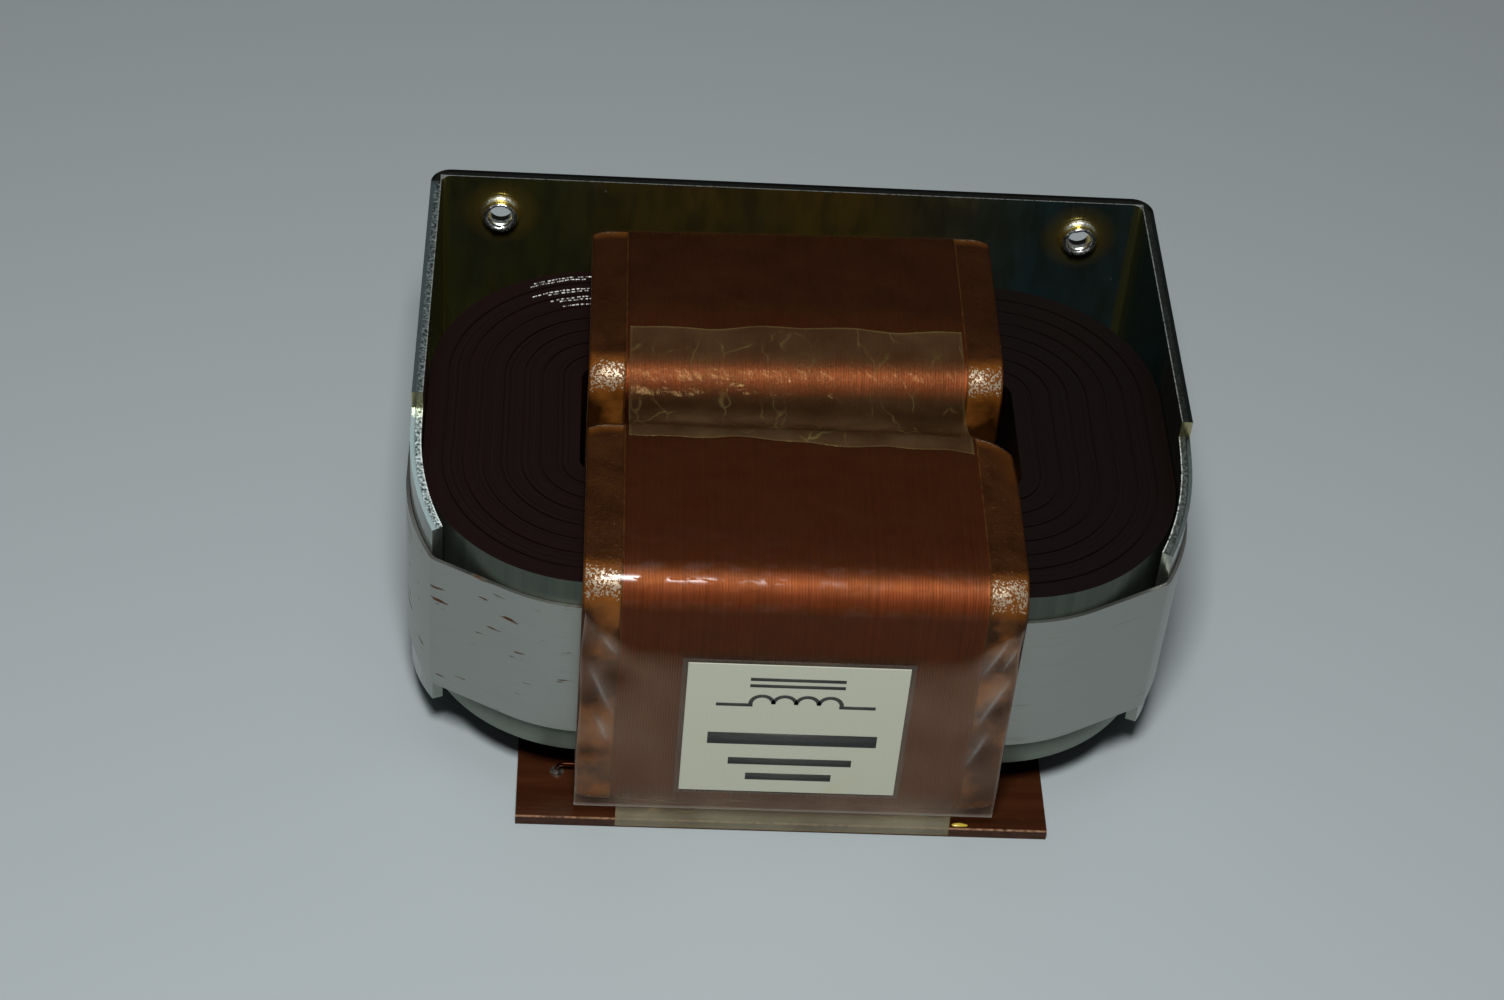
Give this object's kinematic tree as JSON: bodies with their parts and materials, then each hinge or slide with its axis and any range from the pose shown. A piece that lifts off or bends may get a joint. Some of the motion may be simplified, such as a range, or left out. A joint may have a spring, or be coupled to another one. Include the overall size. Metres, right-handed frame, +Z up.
{
  "type": "choke inductor",
  "caption": "Power choke: two film-insulated coils on a cut strip-wound core with air gaps, clamped by a steel band in a U-shaped sheet bracket with tapped fixing holes and a terminal board.",
  "frame": {"origin": "on the resting surface, under the middle of the object's box", "axes": "+X to the right along the coils, +Y from the labelled face towards the bracket's back plate, +Z up"},
  "size_m": [0.1062, 0.0828, 0.0476],
  "materials": {
    "zinc_sheet": "bright zinc plate with a faint yellow tint",
    "band_steel": "cold-rolled strip with fine scratches",
    "core_strip": "varnished edges of wound steel strip",
    "pressboard": "matt",
    "copper_wire": "enamelled copper",
    "margin_film": "stacked amber film, varnished",
    "wrap_film": "clear amber film",
    "clear_film": "milky clear film, wrinkled",
    "label_paper": "cream label stock",
    "phenolic": "polished phenolic paper board",
    "tinned_brass": "tinned"
  },
  "bodies": {
    "root": {"mounting_bracket": "zinc_sheet", "core_band": "band_steel", "core_half_left": "core_strip", "core_half_right": "core_strip", "gap_spacer_front": "pressboard", "gap_spacer_rear": "pressboard", "coil_former_front": "pressboard", "coil_former_rear": "pressboard", "winding_front": "copper_wire", "winding_rear": "copper_wire", "margin_front_left": "margin_film", "margin_front_right": "margin_film", "margin_rear_left": "margin_film", "margin_rear_right": "margin_film", "coil_wrap_front": "wrap_film", "coil_wrap_rear": "wrap_film", "face_film": "clear_film", "face_label": "label_paper", "board_tape": "clear_film", "bridge_tape": "clear_film", "terminal_board": "phenolic", "eyelet_front_left": "tinned_brass", "eyelet_front_right": "tinned_brass", "eyelet_rear_left": "tinned_brass", "eyelet_rear_right": "tinned_brass", "lead_front_left": "copper_wire", "lead_front_right": "copper_wire", "lead_rear_left": "copper_wire", "lead_rear_right": "copper_wire"}
  },
  "joints": []
}
